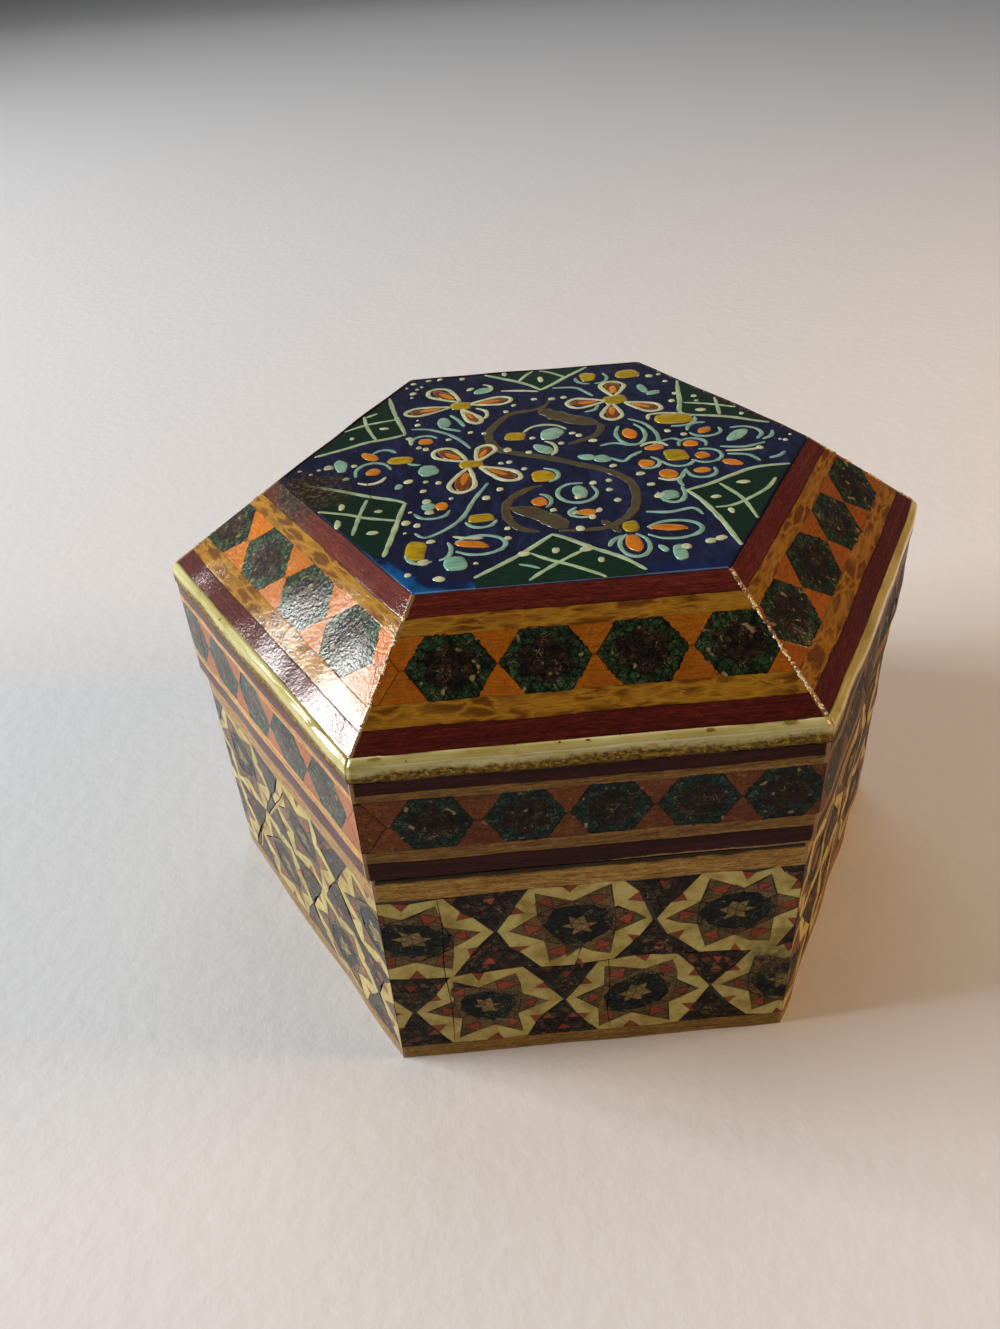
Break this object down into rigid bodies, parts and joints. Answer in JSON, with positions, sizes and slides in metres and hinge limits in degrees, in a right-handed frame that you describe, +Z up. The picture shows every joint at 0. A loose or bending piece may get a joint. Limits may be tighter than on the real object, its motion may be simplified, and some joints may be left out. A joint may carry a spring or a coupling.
{
  "type": "marquetry trinket box",
  "caption": "Hexagonal wooden trinket box with a lift-off bevelled lid, star and medallion mosaic bands, bone edging and a painted top panel.",
  "frame": {"origin": "middle of the base, on the surface that the box stands on", "axes": "+Z up; -Y towards the side that faces the viewer; X runs corner to corner"},
  "size_m": [0.1004, 0.087, 0.0624],
  "materials": {
    "carcass_wood": "matte, close grained",
    "lip_wood": "satin",
    "khatam_mosaic": "wood and bone mosaic under glossy lacquer",
    "blond_wood": "glossy lacquer",
    "red_wood": "glossy lacquer",
    "plum_wood": "glossy lacquer",
    "bone": "polished, yellowed",
    "painted_panel": "painted under glossy lacquer",
    "lining_cloth": "short velvet pile"
  },
  "bodies": {
    "box": {"base_board": "carcass_wood", "wall_board_front": "carcass_wood", "wall_board_front_right": "carcass_wood", "wall_board_back_right": "carcass_wood", "wall_board_back": "carcass_wood", "wall_board_back_left": "carcass_wood", "wall_board_front_left": "carcass_wood", "liner_board_front": "lip_wood", "liner_board_front_right": "lip_wood", "liner_board_back_right": "lip_wood", "liner_board_back": "lip_wood", "liner_board_back_left": "lip_wood", "liner_board_front_left": "lip_wood", "body_khatam_panel_front": "khatam_mosaic", "body_khatam_panel_front_right": "khatam_mosaic", "body_khatam_panel_back_right": "khatam_mosaic", "body_khatam_panel_back": "khatam_mosaic", "body_khatam_panel_back_left": "khatam_mosaic", "body_khatam_panel_front_left": "khatam_mosaic", "body_base_strips": "blond_wood", "body_top_strips": "blond_wood", "floor_lining": "lining_cloth"},
    "lid": {"lid_side_board_front": "carcass_wood", "lid_side_board_front_right": "carcass_wood", "lid_side_board_back_right": "carcass_wood", "lid_side_board_back": "carcass_wood", "lid_side_board_back_left": "carcass_wood", "lid_side_board_front_left": "carcass_wood", "lid_bevel_board_front": "carcass_wood", "lid_bevel_board_front_right": "carcass_wood", "lid_bevel_board_back_right": "carcass_wood", "lid_bevel_board_back": "carcass_wood", "lid_bevel_board_back_left": "carcass_wood", "lid_bevel_board_front_left": "carcass_wood", "lid_top_board": "carcass_wood", "painted_panel": "painted_panel", "bone_edging_front": "bone", "bone_edging_front_right": "bone", "bone_edging_back_right": "bone", "bone_edging_back": "bone", "bone_edging_back_left": "bone", "bone_edging_front_left": "bone", "bevel_upper_red_strips": "red_wood", "bevel_upper_blond_strips": "blond_wood", "bevel_khatam_bands": "khatam_mosaic", "bevel_lower_blond_strips": "blond_wood", "bevel_lower_red_strips": "red_wood", "lid_side_lower_plum_strips": "plum_wood", "lid_side_lower_blond_strips": "blond_wood", "lid_side_khatam_bands": "khatam_mosaic", "lid_side_upper_blond_strips": "blond_wood", "lid_side_upper_plum_strips": "plum_wood", "lid_lining": "lining_cloth"}
  },
  "joints": [
    {"name": "lid_lift", "type": "slide", "parent": "box", "child": "lid", "axis": [0, 0, 1], "range_m": [0, 0.06]}
  ]
}
